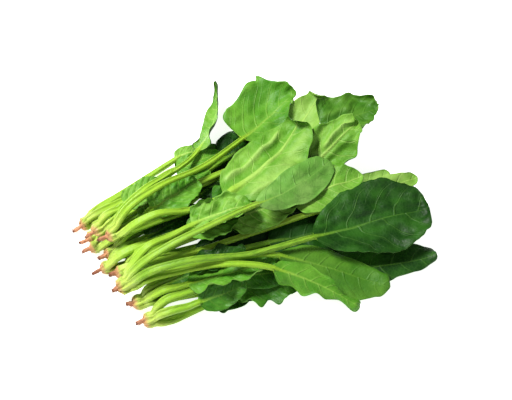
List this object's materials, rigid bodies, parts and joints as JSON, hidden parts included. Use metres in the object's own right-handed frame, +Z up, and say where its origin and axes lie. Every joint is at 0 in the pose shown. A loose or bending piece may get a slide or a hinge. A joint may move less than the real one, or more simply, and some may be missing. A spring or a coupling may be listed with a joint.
{
  "type": "spinach bunch",
  "caption": "Bunch of fresh rooted spinach lying down: cut root crowns at one end, long stalks, and wavy leaves fanned out in layers.",
  "frame": {"origin": "centre of the bounding box's footprint, at the surface the bunch lies on", "axes": "+X along the stalks from the roots to the leaf tips, +Y to the left seen from the roots, +Z up"},
  "size_m": [0.3202, 0.2886, 0.0582],
  "materials": {
    "leaf_light": "fresh light green leaf and yellow-green stalk, semi-matte",
    "leaf_mid": "fresh mid green leaf and yellow-green stalk, semi-matte",
    "leaf_dark": "fresh dark green leaf and yellow-green stalk, slightly glossy",
    "root": "washed root crown, matte, pink to tan"
  },
  "bodies": {
    "root": {"plant_01_crown": "root", "plant_01_leaf_a": "leaf_mid", "plant_01_leaf_b": "leaf_light", "plant_01_leaf_c": "leaf_light", "plant_02_crown": "root", "plant_02_leaf_a": "leaf_mid", "plant_02_leaf_b": "leaf_dark", "plant_02_leaf_c": "leaf_light", "plant_03_crown": "root", "plant_03_leaf_a": "leaf_mid", "plant_03_leaf_b": "leaf_light", "plant_04_crown": "root", "plant_04_leaf_a": "leaf_mid", "plant_04_leaf_b": "leaf_mid", "plant_04_leaf_c": "leaf_mid", "plant_04_leaf_d": "leaf_light", "plant_05_crown": "root", "plant_05_leaf_a": "leaf_dark", "plant_05_leaf_b": "leaf_mid", "plant_05_leaf_c": "leaf_light", "plant_06_crown": "root", "plant_06_leaf_a": "leaf_dark", "plant_06_leaf_b": "leaf_dark", "plant_06_leaf_c": "leaf_dark", "plant_06_leaf_d": "leaf_dark", "plant_07_crown": "root", "plant_07_leaf_a": "leaf_dark", "plant_07_leaf_b": "leaf_light", "plant_07_leaf_c": "leaf_mid", "plant_07_leaf_d": "leaf_dark", "plant_08_crown": "root", "plant_08_leaf_a": "leaf_dark", "plant_08_leaf_b": "leaf_light", "plant_08_leaf_c": "leaf_light", "plant_08_leaf_d": "leaf_dark", "plant_08_leaf_e": "leaf_dark", "plant_09_crown": "root", "plant_09_leaf_a": "leaf_mid", "plant_09_leaf_b": "leaf_mid", "plant_09_leaf_c": "leaf_light", "plant_09_leaf_d": "leaf_mid", "plant_09_leaf_e": "leaf_mid", "plant_09_leaf_f": "leaf_dark", "plant_10_crown": "root", "plant_10_leaf_a": "leaf_dark", "plant_10_leaf_b": "leaf_mid", "plant_10_leaf_c": "leaf_mid", "plant_10_leaf_d": "leaf_dark", "plant_10_leaf_e": "leaf_dark", "plant_10_leaf_f": "leaf_mid", "plant_11_crown": "root", "plant_11_leaf_a": "leaf_dark", "plant_11_leaf_b": "leaf_mid", "plant_11_leaf_c": "leaf_mid", "plant_11_leaf_d": "leaf_mid", "plant_11_leaf_e": "leaf_mid"}
  },
  "joints": []
}
